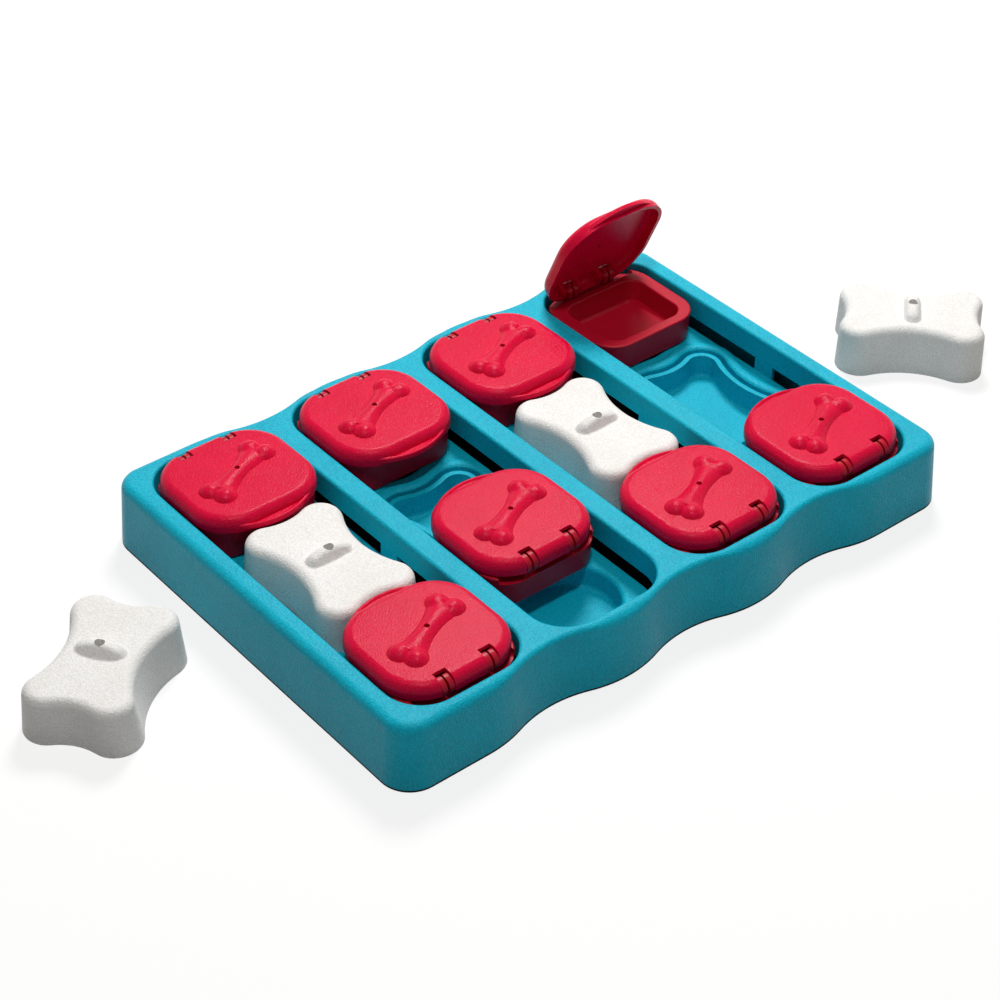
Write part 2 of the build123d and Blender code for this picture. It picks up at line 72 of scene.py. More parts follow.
# tray
LANE_PITCH = 77.86
LANES = [(lane - 2.5) * LANE_PITCH for lane in (1, 2, 3, 4)]
TRAY_LENGTH, TRAY_DEPTH, TRAY_TOP = 325.0, 225.3, 34.7
SKIRT_FOOT, SKIRT_LEAN, SKIRT_CORNER = 1.2, 2.12, 15.0
WAVE_DEPTH = 6.54
DECK_ROUND, DECK_EXTRA, LANE_LIP = 2.6, 2.0, 1.6
BROAD_REACH, BROAD_FADE = 17.5, 10.0  # the deck is broad this near to a crest of the skirt
LANE_WIDTH, LANE_LENGTH, LANE_CORNER = 66.0, 207.0, 19.0
LEAN_OVER_SLOT, LEAN_AT_SLOT = 0.36, 0.24
LANE_FLOOR, SLOT_TOP, SLOT_BRIDGE, SLOT_END = 16.0, 22.8, 6.0, 94.1
WELL_FLOOR, WELL_FILLET = 4.5, 2.0
ROUND_WELL, ROUND_WELL_Y, ROUND_WELL_LIP, ROUND_WELL_LEAN = 24.5, 70.4, 2.5, 0.7
BEAD_ROUND, BEAD_TOP, BEAD_SLOPE, BEAD_LIMIT = 2.4, 1.6, 60, 32.0
GROOVE_FLOOR, GROOVE_WIDTH, CAP_PLAY = 12.0, 2.0, 0.3
RING_WIDTH, RING_ROUND, RING_LEAN, BONE_WELL_LEAN = 2.8, 0.4, 0.4, 0.8
TRAY_WALL = 2.0

# bone caps
FOOT_BONE = dict(length=74.6, width=54.0, waist=42.6, ends=68.4, lobe=12.0)
TOP_BONE = dict(length=73.0, width=48.5, waist=35.0, ends=67.0, lobe=10.0)
BONE_HEIGHT, BONE_ROUND, BONE_WALL = 24.5, 4.0, 1.7
GRIP_LENGTH, GRIP_WIDTH, GRIP_HEIGHT, GRIP_DROP = 26.0, 10.4, 5.2, 2.6
GRIP_FILLET, GRIP_ROUND, GRIP_SLOPE = 1.2, 2.8, 68
GRIP_FLANK = (1.09, 2.71)  # inward and up
GRIP_MARKS = (1.5, 3, 4.5, 6)  # the points at which the ridge arches
GRIP_END, CAP_HOLE = 3.0, 2.3

# lids
LID_WIDTH, LID_OUTER, LID_INNER, LID_CORNER = 64.4, -100.7, -39.6, 21.0
LID_BOTTOM, LID_TOP, LID_ROUND, LID_WALL = 33.0, 40.5, 4.9, 2.0
LIP_REACH, LIP_HALF, LIP_BEND, LIP_BOTTOM = 4.6, 20.5, 33.6, 34.6
LIP_ROOT, LIP_CUT, LIP_EDGE, LIP_ROUND = 9.0, 1.95, 1.5, 0.9
DISH_ROUND, DISH_SLOPE, DISH_DROP = 0.8, 45, 0.4
RELIEF_LENGTH, RELIEF_WIDTH, RELIEF_WAIST, RELIEF_TURN = 47.0, 18.8, 9.6, 26
RELIEF_MARGIN, RELIEF_RIM, RELIEF_ROOT, RELIEF_BLEND = 2.0, 0.7, 1.2, 1.6
BALL_RADIUS, BALL_HEIGHT = 5.6, 3.3
SHANK_HEIGHT, SHANK_FLARE, SHANK_END, SHANK_FALL = 2.7, 4.0, 1.5, 3.0
SCENT_HOLE, HOLE_SHIFT, HOLE_LOW, HOLE_HIGH = 1.3, 0.03, 30.0, 50.0
NOTCH_HALF, NOTCH_END = 3.35, -93.1
KNUCKLE_WIDTH, KNUCKLE_OUTER, KNUCKLE_INNER = 3.0, -98.4, -93.4
KNUCKLE_BOTTOM, KNUCKLE_TOP, STUB_ROOT = 33.4, 38.7, 0.5

# sliding boxes
BOX_WIDTH, BOX_OUTER, BOX_INNER, BOX_CORNER = 62.0, -100.0, -43.6, 14.5
BOX_BOTTOM, BOX_RIM, BOX_LEAN, RIM_ROUND = 17.3, 32.0, 1.0, 0.8
CUP_WIDTH, CUP_OUTER, CUP_INNER, CUP_CORNER, CUP_FLOOR = 47.5, -88.5, -49.4, 8.0, 18.9
CUP_MOUTH, CUP_LEAN, CUP_FILLET = 1.0, 1.2, 3.0
STEP_HALF, STEP_INNER, STEP_FLOOR = 27.0, -91.8, 29.2
TAB_SPAN, TAB_LENGTH, TAB_HEIGHT, TAB_CORNER, TAB_ROUND, TAB_Y = 68.8, 25.0, 3.7, 3.0, 0.5, -71.6
RUNNER_INNER, RUNNER_OUTER, RUNNER_LENGTH = 32.6, 34.4, 22.8
RUNNER_BOTTOM, RUNNER_TOP = 16.1, 18.5
HINGE_Y, HINGE_Z, LUG_X = -96.0, 34.8, 12.0
LUG_WIDTH, LUG_SPLIT, LUG_RADIUS, LUG_REACH, LUG_CUT = 6.2, 1.1, 2.6, 4.6, 1.2
POST_HALF, POST_BOTTOM, POST_DROP = 2.5, 28.0, 0.5
PIN_RADIUS, PIN_PLAY = 1.2, 0.08


# ------------------------------------------------------------------ outlines and profiles
def turn(radius, start, end, steps=5):
    """Steps (inward, up) of a rounding whose slope goes from start to end, in degrees."""
    side = 1 if end > start else -1
    slopes = [math.radians(start + (end - start) * i / steps) for i in range(steps + 1)]
    return [
        (side * radius * (math.sin(b) - math.sin(a)), side * radius * (math.cos(a) - math.cos(b)))
        for a, b in zip(slopes, slopes[1:])
    ]


def sweep(bm, face, profile):
    """Carries a face through (inward, up) steps and leaves a wall behind it."""
    for inward, up in profile:
        bmesh.ops.inset_region(
            bm, faces=[face], thickness=max(inward, 0.0001), depth=up,
            use_boundary=True, use_even_offset=True,
        )
    return face


def to(bm, vert, x, y):
    """A straight run from a vertex to a point at the same height."""
    end = bmesh.ops.extrude_vert_indiv(bm, verts=[vert])["verts"][0]
    end.co.x, end.co.y = x, y
    return end


def around(bm, vert, x, y, degrees, steps):
    """An arc from a vertex about a centre at the same height."""
    arc = bmesh.ops.spin(
        bm, geom=[vert], cent=(x, y, vert.co.z), axis=(0, 0, 1),
        angle=math.radians(degrees), steps=steps,
    )
    return [v for v in arc["geom_last"] if isinstance(v, bmesh.types.BMVert)][0]


def outline(bm, before, axes, place):
    """Mirrors the fresh part of an outline, moves it to its place and fills it, face up."""
    def edges_of(verts):
        # a dict keeps them in order, where a set might not
        return list(dict.fromkeys(e for v in verts for e in v.link_edges))

    for axis in axes:
        fresh = [v for v in bm.verts if v not in before]
        bmesh.ops.mirror(bm, geom=fresh + edges_of(fresh), axis=axis, merge_dist=0.001)
    fresh = [v for v in bm.verts if v not in before]
    bmesh.ops.remove_doubles(bm, verts=fresh, dist=0.001)
    fresh = [v for v in bm.verts if v not in before]
    bmesh.ops.translate(bm, verts=fresh, vec=(*place, 0))
    face = bmesh.ops.contextual_create(bm, geom=edges_of(fresh))["faces"][0]
    face.normal_update()
    if face.normal.z < 0:
        bmesh.ops.reverse_faces(bm, faces=[face])
    return face


def rounded(bm, width, length, radius, z, place=(0, 0), marks=(), steps=15):
    """A rectangle with round corners; marks are extra points on its long sides."""
    before = set(bm.verts)
    half_w, half_l = width / 2, length / 2
    vert = bmesh.ops.create_vert(bm, co=(half_w, 0, z))["vert"][0]
    for mark in (*marks, half_l - radius):
        vert = to(bm, vert, half_w, mark)
    vert = around(bm, vert, half_w - radius, half_l - radius, 90, steps)
    to(bm, vert, 0, half_l)
    return outline(bm, before, "XY", place)


def disc(bm, radius, z, place, segments=72):
    """A circle, face up."""
    circle = bmesh.ops.create_circle(
        bm, cap_ends=True, radius=radius, segments=segments,
        matrix=Matrix.Translation((*place, z)),
    )
    face = circle["verts"][0].link_faces[0]
    face.normal_update()
    if face.normal.z < 0:
        bmesh.ops.reverse_faces(bm, faces=[face])
    return face


def bone(bm, z, length, width, waist, ends, lobe, place=(0, 0), grow=0.0, steps=(8, 14, 5)):
    """A bone outline of tangent arcs, drawn out by grow."""
    before = set(bm.verts)
    cx, cy = width / 2 - lobe, length / 2 - lobe
    round_end = lobe + grow
    half_waist, half_ends = waist / 2 + grow, ends / 2 + grow
    side = ((half_waist - cx) ** 2 + cy**2 - round_end**2) / (2 * (round_end + cx - half_waist))
    end = ((half_ends - cy) ** 2 + cx**2 - round_end**2) / (2 * (round_end + cy - half_ends))
    side_angle = math.degrees(math.atan2(cy, half_waist + side - cx))
    end_angle = math.degrees(math.atan2(cx, half_ends + end - cy))
    vert = bmesh.ops.create_vert(bm, co=(half_waist, 0, z))["vert"][0]
    vert = around(bm, vert, half_waist + side, 0, -side_angle, steps[0])
    vert = around(bm, vert, cx, cy, 90 + side_angle + end_angle, steps[1])
    around(bm, vert, 0, half_ends + end, -end_angle, steps[2])
    return outline(bm, before, "XY", place)


def skirt(bm, z):
    """The tray's plan: straight ends, and long sides that wave in at each divider."""
    before = set(bm.verts)
    half_x, crest = TRAY_LENGTH / 2, TRAY_DEPTH / 2
    swing = 2 * math.atan2(WAVE_DEPTH / 2, LANE_PITCH / 4)
    bend = LANE_PITCH / 4 / math.sin(swing)
    swing = math.degrees(swing)
    vert = bmesh.ops.create_vert(bm, co=(half_x, 0, z))["vert"][0]
    vert = to(bm, vert, half_x, crest - SKIRT_CORNER)
    vert = around(bm, vert, half_x - SKIRT_CORNER, crest - SKIRT_CORNER, 90, 14)
    vert = to(bm, vert, LANES[3], crest)
    vert = around(bm, vert, LANES[3], crest - bend, swing, 7)
    vert = around(bm, vert, LANE_PITCH, crest - WAVE_DEPTH + bend, -2 * swing, 14)
    vert = around(bm, vert, LANES[2], crest - bend, 2 * swing, 14)
    around(bm, vert, 0, crest - WAVE_DEPTH + bend, -swing, 7)
    return outline(bm, before, "XY", (0, 0))


def fill(bm, z, x=0.0, reach=math.inf):
    """Fills between all open edges at one height near x, leaving closed loops inside as holes."""
    def near(vert):
        return abs(vert.co.z - z) < 0.002 and abs(vert.co.x - x) < reach

    edges = [e for e in bm.edges if e.is_boundary and all(map(near, e.verts))]
    made = bmesh.ops.triangle_fill(bm, use_beauty=True, edges=edges, normal=(0, 0, 1))
    faces = [g for g in made["geom"] if isinstance(g, bmesh.types.BMFace)]
    for face in faces:
        face.normal_update()
    bmesh.ops.reverse_faces(bm, faces=[f for f in faces if f.normal.z < 0])


def block(bm, low, high):
    """A box between two corners."""
    low, high = Vector(low), Vector(high)
    place = Matrix.Translation((low + high) / 2) @ Matrix.Diagonal((*(high - low), 1))
    bmesh.ops.create_cube(bm, size=1, matrix=place)


def rod(bm, start, end, radius, segments=32):
    """A round bar between two points."""
    start, end = Vector(start), Vector(end)
    along = (end - start).to_track_quat("Z", "Y").to_matrix().to_4x4()
    place = Matrix.Translation((start + end) / 2) @ along
    bmesh.ops.create_cone(
        bm, cap_ends=True, segments=segments, radius1=radius, radius2=radius,
        depth=(end - start).length, matrix=place,
    )


def solid(bm, wall=0.0, steps=()):
    """The bmesh as a mesh, given a wall thickness, then joined with or cut by other shapes."""
    def thing(shape):
        shape.normal_update()
        many_sided = [f for f in shape.faces if len(f.verts) > 4]
        bmesh.ops.triangulate(shape, faces=many_sided)
        closed = not any(e.is_boundary for e in shape.edges)
        if closed and shape.calc_volume(signed=True) < 0:
            bmesh.ops.reverse_faces(shape, faces=shape.faces)
        mesh = bpy.data.meshes.new("shape")
        shape.to_mesh(mesh)
        shape.free()
        made = bpy.data.objects.new("shape", mesh)
        bpy.context.scene.collection.objects.link(made)
        return made

    things = [thing(bm)]
    if wall:
        skin = things[0].modifiers.new("wall", "SOLIDIFY")
        skin.thickness, skin.offset = wall, -1
        skin.use_even_offset = skin.use_quality_normals = True
    for kind, shape in steps:
        things.append(thing(shape))
        join = things[0].modifiers.new("join", "BOOLEAN")
        join.operation, join.solver, join.object = kind, "EXACT", things[-1]
    bpy.context.view_layer.update()
    depsgraph = bpy.context.evaluated_depsgraph_get()
    mesh = bpy.data.meshes.new_from_object(things[0].evaluated_get(depsgraph))
    for made in things:
        bpy.data.objects.remove(made)
    return mesh


# ------------------------------------------------------------------ tray
def deck_extra(x, y):
    """How much wider than its least the deck's outer rounding is at a point: most at a crest."""
    if abs(x) >= LANES[3]:
        return DECK_EXTRA
    from_crest = min(abs(x - lane) for lane in LANES)
    return DECK_EXTRA * min(1, max(0, (BROAD_REACH - from_crest) / BROAD_FADE))


def soften_deck(bm):
    """Widens the rounding of the deck's outer edge where the deck is broad."""
    low = TRAY_TOP - DECK_ROUND
    corner_x = TRAY_LENGTH / 2 - SKIRT_CORNER
    corner_y = TRAY_DEPTH / 2 - SKIRT_CORNER
    for v in bm.verts:
        if v.co.z < low - 0.01:
            continue
        x, y = v.co.x, v.co.y
        inward = Vector((-max(0, abs(x) - corner_x) * math.copysign(1, x),
                         -max(0, abs(y) - corner_y) * math.copysign(1, y), 0))
        if inward.length:
            inward.normalize()
        drop = TRAY_TOP - v.co.z
        rise = min(1, max(0, 1 - drop / DECK_ROUND))
        extra = deck_extra(x, y)
        v.co.z = TRAY_TOP - drop * (1 + extra / DECK_ROUND)
        v.co += inward * extra * (1 - math.sqrt(max(0, 1 - rise**2)))


def round_well(bm, x, y):
    """A round treat well in a lane's floor, with a soft lip."""
    sweep(bm, disc(bm, ROUND_WELL + ROUND_WELL_LIP, LANE_FLOOR, (x, y)), [
        *turn(ROUND_WELL_LIP, 0, -85, 6),
        (ROUND_WELL_LEAN, WELL_FLOOR - LANE_FLOOR + ROUND_WELL_LIP + WELL_FILLET),
        *turn(WELL_FILLET, -85, 0, 4),
    ])


def bone_well(bm, x):
    """The bone well in a lane's middle: a bead, the groove of the cap's foot, a ring, the well."""
    before = set(bm.verts)
    bead = 2 * BEAD_ROUND * math.sin(math.radians(BEAD_SLOPE)) + BEAD_TOP
    groove = LANE_FLOOR - GROOVE_FLOOR
    sweep(bm, bone(bm, LANE_FLOOR, place=(x, 0), grow=CAP_PLAY + bead, **FOOT_BONE), [
        *turn(BEAD_ROUND, BEAD_SLOPE, 0, 5), (BEAD_TOP, 0.0), *turn(BEAD_ROUND, 0, -BEAD_SLOPE, 5),
        *turn(RING_ROUND, -BEAD_SLOPE, -88, 2), (0.0, RING_ROUND / 2 - groove),
        (GROOVE_WIDTH, 0.0),
        (RING_LEAN, groove - RING_ROUND), *turn(RING_ROUND, 88, 0, 2),
        (RING_WIDTH - 2 * RING_ROUND, 0.0),
        *turn(RING_ROUND, 0, -86, 2),
        (BONE_WELL_LEAN, WELL_FLOOR - LANE_FLOOR + RING_ROUND + WELL_FILLET),
        *turn(WELL_FILLET, -86, 0, 4),
    ])
    # the bead stops short of the lane's walls
    for v in bm.verts:
        if v not in before and abs(v.co.x - x) > BEAD_LIMIT:
            v.co.x = x + math.copysign(BEAD_LIMIT, v.co.x - x)


def in_slot(face):
    """Whether a face of a lane's wall is where a guide slot opens it."""
    middle = face.calc_center_median()
    off_wall = min(abs(abs(middle.x - x) - LANE_WIDTH / 2) for x in LANES)
    return (
        off_wall < 4 and abs(face.normal.z) < 0.5
        and LANE_FLOOR + 1 < middle.z < SLOT_TOP - 1
        and SLOT_BRIDGE < abs(middle.y) < SLOT_END
    )


def tray_shape():
    """The moulded shell: skirt, deck, and four lane tubs with their wells and guide slots."""
    bm = bmesh.new()
    top = sweep(bm, skirt(bm, SKIRT_FOOT), [
        (SKIRT_LEAN, TRAY_TOP - SKIRT_FOOT - DECK_ROUND), *turn(DECK_ROUND, 90, 0, 6),
    ])
    soften_deck(bm)
    bmesh.ops.delete(bm, geom=[top], context="FACES_ONLY")
    for x in LANES:
        mouth = rounded(
            bm, LANE_WIDTH + 2 * LANE_LIP, LANE_LENGTH + 2 * LANE_LIP, LANE_CORNER + LANE_LIP,
            TRAY_TOP, (x, 0), marks=(SLOT_BRIDGE,),
        )
        lane_floor = sweep(bm, mouth, [
            *turn(LANE_LIP, 0, -90, 5),
            (LEAN_OVER_SLOT, SLOT_TOP - TRAY_TOP + LANE_LIP),
            (LEAN_AT_SLOT, LANE_FLOOR - SLOT_TOP),
        ])
        bmesh.ops.delete(bm, geom=[lane_floor], context="FACES_ONLY")
        for y in (-ROUND_WELL_Y, ROUND_WELL_Y):
            round_well(bm, x, y)
        bone_well(bm, x)
        fill(bm, LANE_FLOOR, x, LANE_PITCH / 2)
    fill(bm, TRAY_TOP)
    bmesh.ops.delete(bm, geom=[face for face in bm.faces if in_slot(face)], context="FACES")
    return solid(bm, wall=TRAY_WALL)


# ------------------------------------------------------------------ bone caps
def cap_shape():
    """A bone cap standing on its foot at the origin: leaning sides, flat top, finger ridge."""
    bm = bmesh.new()
    foot = bone(bm, 0, **FOOT_BONE)
    top = bone(bm, BONE_HEIGHT, **TOP_BONE)
    bmesh.ops.bridge_loops(bm, edges=list(foot.edges) + list(top.edges))
    bmesh.ops.bevel(
        bm, geom=list(top.edges), offset=BONE_ROUND, segments=8, profile=0.5,
        affect="EDGES", material=-1,
    )
    crown = [f for f in bm.faces if f.calc_center_median().z > BONE_HEIGHT - BONE_ROUND]
    bmesh.ops.delete(bm, geom=[max(crown, key=lambda f: f.calc_area())], context="FACES_ONLY")
    # finger ridge, an arch across the waist
    before = set(bm.verts)
    ridge = rounded(
        bm, GRIP_WIDTH, GRIP_LENGTH, GRIP_WIDTH / 2, BONE_HEIGHT, marks=GRIP_MARKS, steps=9,
    )
    bmesh.ops.rotate(bm, verts=ridge.verts, matrix=Matrix.Rotation(math.pi / 2, 3, "Z"))
    sweep(bm, ridge, [
        *turn(GRIP_FILLET, 0, GRIP_SLOPE, 5), GRIP_FLANK, *turn(GRIP_ROUND, GRIP_SLOPE, 5, 9),
    ])
    for v in bm.verts:
        if v not in before:
            share = (v.co.z - BONE_HEIGHT) / GRIP_HEIGHT
            v.co.z -= share * GRIP_DROP * (v.co.x / (GRIP_LENGTH / 2 - GRIP_END)) ** 2
    fill(bm, BONE_HEIGHT)
    # hollow underneath
    mouth = bone(bm, 0, grow=-BONE_WALL, **FOOT_BONE)
    roof = bone(bm, BONE_HEIGHT - BONE_WALL, grow=-BONE_WALL, **TOP_BONE)
    bmesh.ops.bridge_loops(bm, edges=list(mouth.edges) + list(roof.edges))
    bmesh.ops.delete(bm, geom=[foot, mouth], context="FACES_ONLY")
    fill(bm, 0)
    bmesh.ops.recalc_face_normals(bm, faces=bm.faces)
    hole = bmesh.new()
    rod(hole, (0, 0, -SPARE), (0, 0, BONE_HEIGHT + GRIP_HEIGHT + 5 * SPARE), CAP_HOLE, 40)
    return solid(bm, steps=[("DIFFERENCE", hole)])


# ------------------------------------------------------------------ sliding boxes
def drawer_shape():
    """A sliding box in the front half of a lane, with its cup, tabs, hinge step and lugs."""
    bm = bmesh.new()
    middle = (0, (BOX_OUTER + BOX_INNER) / 2)
    length = BOX_INNER - BOX_OUTER
    foot = rounded(
        bm, BOX_WIDTH - 2 * BOX_LEAN, length - 2 * BOX_LEAN, BOX_CORNER - BOX_LEAN,
        BOX_BOTTOM, middle,
    )
    rim = rounded(bm, BOX_WIDTH, length, BOX_CORNER, BOX_RIM - RIM_ROUND, middle)
    bmesh.ops.bridge_loops(bm, edges=list(foot.edges) + list(rim.edges))
    sweep(bm, rim, turn(RIM_ROUND, 90, 0, 4))
    bmesh.ops.delete(bm, geom=[rim], context="FACES_ONLY")
    cup = rounded(
        bm, CUP_WIDTH + 2 * CUP_MOUTH, CUP_INNER - CUP_OUTER + 2 * CUP_MOUTH, CUP_CORNER + CUP_MOUTH,
        BOX_RIM, (0, (CUP_OUTER + CUP_INNER) / 2),
    )
    sweep(bm, cup, [
        *turn(CUP_MOUTH, 0, -84, 4), (CUP_LEAN, CUP_FLOOR - BOX_RIM + CUP_MOUTH + CUP_FILLET),
        *turn(CUP_FILLET, -84, 0, 6),
    ])
    fill(bm, BOX_RIM)
    bmesh.ops.recalc_face_normals(bm, faces=bm.faces)
    step = bmesh.new()
    block(
        step, (-STEP_HALF, BOX_OUTER - SPARE, STEP_FLOOR), (STEP_HALF, STEP_INNER, BOX_RIM + SPARE),
    )
    # one plate through the box, whose ends are the guide tabs
    tabs = bmesh.new()
    plate = rounded(tabs, TAB_SPAN, TAB_LENGTH, TAB_CORNER, BOX_BOTTOM, (0, TAB_Y))
    sweep(tabs, plate, [(0.0, TAB_HEIGHT), *turn(TAB_ROUND, 88, 0, 3)])
    bmesh.ops.contextual_create(tabs, geom=[e for e in tabs.edges if e.is_boundary])
    bmesh.ops.recalc_face_normals(tabs, faces=tabs.faces)
    runners, arcs, rounds, posts, pins = (bmesh.new() for _ in range(5))
    for side in (-1, 1):
        low, high = sorted((side * RUNNER_INNER, side * RUNNER_OUTER))
        block(
            runners, (low, TAB_Y - RUNNER_LENGTH / 2, RUNNER_BOTTOM),
            (high, TAB_Y + RUNNER_LENGTH / 2, RUNNER_TOP),
        )
        ends = [(side * LUG_X + reach, HINGE_Y, HINGE_Z) for reach in (-LUG_WIDTH, LUG_WIDTH)]
        rod(pins, *ends, PIN_RADIUS + PIN_PLAY)
        for start in (side * LUG_X - LUG_WIDTH / 2, side * LUG_X + LUG_SPLIT / 2):
            end = start + (LUG_WIDTH - LUG_SPLIT) / 2
            rod(rounds, (start, HINGE_Y, HINGE_Z), (end, HINGE_Y, HINGE_Z), LUG_RADIUS)
            rod(arcs, (start, HINGE_Y, HINGE_Z), (end, HINGE_Y, HINGE_Z), LUG_REACH, 48)
            block(
                posts, (start, HINGE_Y - POST_HALF, POST_BOTTOM),
                (end, HINGE_Y + POST_HALF, HINGE_Z - POST_DROP),
            )
    # a lug is wide on its outer side only
    bmesh.ops.bisect_plane(
        arcs, geom=[*arcs.verts, *arcs.edges, *arcs.faces], dist=0.0001,
        plane_co=(0, HINGE_Y + LUG_CUT, HINGE_Z), plane_no=(0, 1, 0), clear_outer=True,
    )
    bmesh.ops.holes_fill(arcs, edges=[e for e in arcs.edges if e.is_boundary])
    bmesh.ops.recalc_face_normals(arcs, faces=arcs.faces)
    return solid(bm, steps=[
        ("UNION", tabs), ("UNION", runners), ("DIFFERENCE", step), ("UNION", posts),
        ("UNION", arcs), ("UNION", rounds), ("DIFFERENCE", pins),
    ])


# ------------------------------------------------------------------ lids
def dome(off, reach, height):
    """Height of a round cap at a distance from its middle; it goes on down past its rim."""
    radius = (reach**2 + height**2) / (2 * height)
    return math.sqrt(max(0, radius**2 - off**2)) - (radius - height)


def scent_hole(middle):
    """A rod that cuts the hole in a lid's middle; its shift keeps it off the edges there."""
    hole = bmesh.new()
    ends = [middle + Vector((HOLE_SHIFT, 0, z)) for z in (HOLE_LOW, HOLE_HIGH)]
    rod(hole, *ends, SCENT_HOLE, 24)
    return hole


def relief_shape(middle):
    """The bone raised on a lid: four balls and a shank, with its rim sunk in the lid."""
    bm = bmesh.new()
    bmesh.ops.create_grid(
        bm, x_segments=110, y_segments=50, size=0.5,
        matrix=Matrix.Diagonal((RELIEF_LENGTH + RELIEF_MARGIN, RELIEF_WIDTH + RELIEF_MARGIN, 1, 1)),
    )
    ball_x, ball_y = RELIEF_LENGTH / 2 - BALL_RADIUS, RELIEF_WIDTH / 2 - BALL_RADIUS
    for v in bm.verts:
        x, y = abs(v.co.x), abs(v.co.y)
        ball = dome(math.hypot(x - ball_x, y - ball_y), BALL_RADIUS, BALL_HEIGHT)
        half_width = RELIEF_WAIST / 2 + SHANK_FLARE * (x / ball_x) ** 2
        shank = dome(y, half_width, SHANK_HEIGHT) - SHANK_FALL * max(0, x - ball_x + SHANK_END)
        blend = max(0, RELIEF_BLEND - abs(ball - shank))
        v.co.z = max(-RELIEF_RIM, max(ball, shank) + blend**2 / (4 * RELIEF_BLEND))
    rim = bmesh.ops.extrude_edge_only(bm, edges=[e for e in bm.edges if e.is_boundary])
    low = [g for g in rim["geom"] if isinstance(g, bmesh.types.BMVert)]
    for v in low:
        v.co.z = -RELIEF_ROOT
    bmesh.ops.contextual_create(bm, geom=[e for e in bm.edges if e.is_boundary])
    bmesh.ops.recalc_face_normals(bm, faces=bm.faces)
    place = Matrix.Translation(middle + Vector((0, 0, LID_TOP)))
    bm.transform(place @ Matrix.Rotation(math.radians(RELIEF_TURN), 4, "Z"))
    return solid(bm, steps=[("DIFFERENCE", scent_hole(middle))])


def lip_shape():
    """The dished finger lip at a lid's free edge, rounded in plan and cut off inside the lid."""
    lip = bmesh.new()
    swing = math.degrees(math.asin(LIP_HALF / LIP_BEND))
    tip, root = LID_INNER + LIP_REACH, LID_INNER - LIP_ROOT
    vert = bmesh.ops.create_vert(lip, co=(0, tip, LIP_BOTTOM))["vert"][0]
    vert = around(lip, vert, 0, tip - LIP_BEND, -swing, 16)
    to(lip, to(lip, vert, LIP_HALF, root), 0, root)
    sweep(lip, outline(lip, set(), "X", (0, 0)), [
        (0.0, LIP_EDGE), *turn(LIP_ROUND, 88, 0, 5),
        *turn(DISH_ROUND, 0, -DISH_SLOPE, 3), (DISH_DROP, -DISH_DROP),
        *turn(DISH_ROUND, -DISH_SLOPE, 0, 3),
    ])
    bmesh.ops.contextual_create(lip, geom=[e for e in lip.edges if e.is_boundary])
    bmesh.ops.recalc_face_normals(lip, faces=lip.faces)
    bmesh.ops.bisect_plane(
        lip, geom=[*lip.verts, *lip.edges, *lip.faces], dist=0.0001,
        plane_co=(0, LID_INNER - LIP_CUT, 0), plane_no=(0, 1, 0), clear_inner=True,
    )
    bmesh.ops.contextual_create(lip, geom=[e for e in lip.edges if e.is_boundary])
    bmesh.ops.recalc_face_normals(lip, faces=lip.faces)
    return solid(lip)


def lid_shape():
    """A lid in the front half of a lane: domed edge, raised bone, finger lip, hinge stubs."""
    bm = bmesh.new()
    middle = Vector((0, (LID_OUTER + LID_INNER) / 2, 0))
    edge = turn(LID_ROUND, 90, 7, 9)
    climb = LID_TOP - LID_BOTTOM - sum(up for _, up in edge)
    sweep(
        bm, rounded(bm, LID_WIDTH, LID_INNER - LID_OUTER, LID_CORNER, LID_BOTTOM, middle.xy),
        [(0.0, climb), *edge],
    )
    cuts, knuckles, stubs = scent_hole(middle), bmesh.new(), bmesh.new()
    for x in (-LUG_X, LUG_X):
        block(
            cuts, (x - NOTCH_HALF, LID_OUTER - SPARE, LID_BOTTOM - SPARE),
            (x + NOTCH_HALF, NOTCH_END, LID_TOP + SPARE),
        )
        for side in (1, -1):
            wall = x + side * NOTCH_HALF
            low, high = sorted((wall, wall + side * KNUCKLE_WIDTH))
            block(
                knuckles, (low, KNUCKLE_OUTER, KNUCKLE_BOTTOM), (high, KNUCKLE_INNER, KNUCKLE_TOP),
            )
            low, high = sorted((wall + side * STUB_ROOT, x + side * LUG_SPLIT / 2))
            rod(stubs, (low, HINGE_Y, HINGE_Z), (high, HINGE_Y, HINGE_Z), PIN_RADIUS, 24)
    lid = bmesh.new()
    lid.from_mesh(solid(bm, wall=LID_WALL, steps=[
        ("DIFFERENCE", cuts), ("UNION", knuckles), ("UNION", stubs),
    ]))
    lid.from_mesh(lip_shape())
    lid.from_mesh(relief_shape(middle))
    return solid(lid)


# ------------------------------------------------------------------ materials
DRIFT_SIZE = 22.2  # mm, of the patches in which a moulding's tone drifts


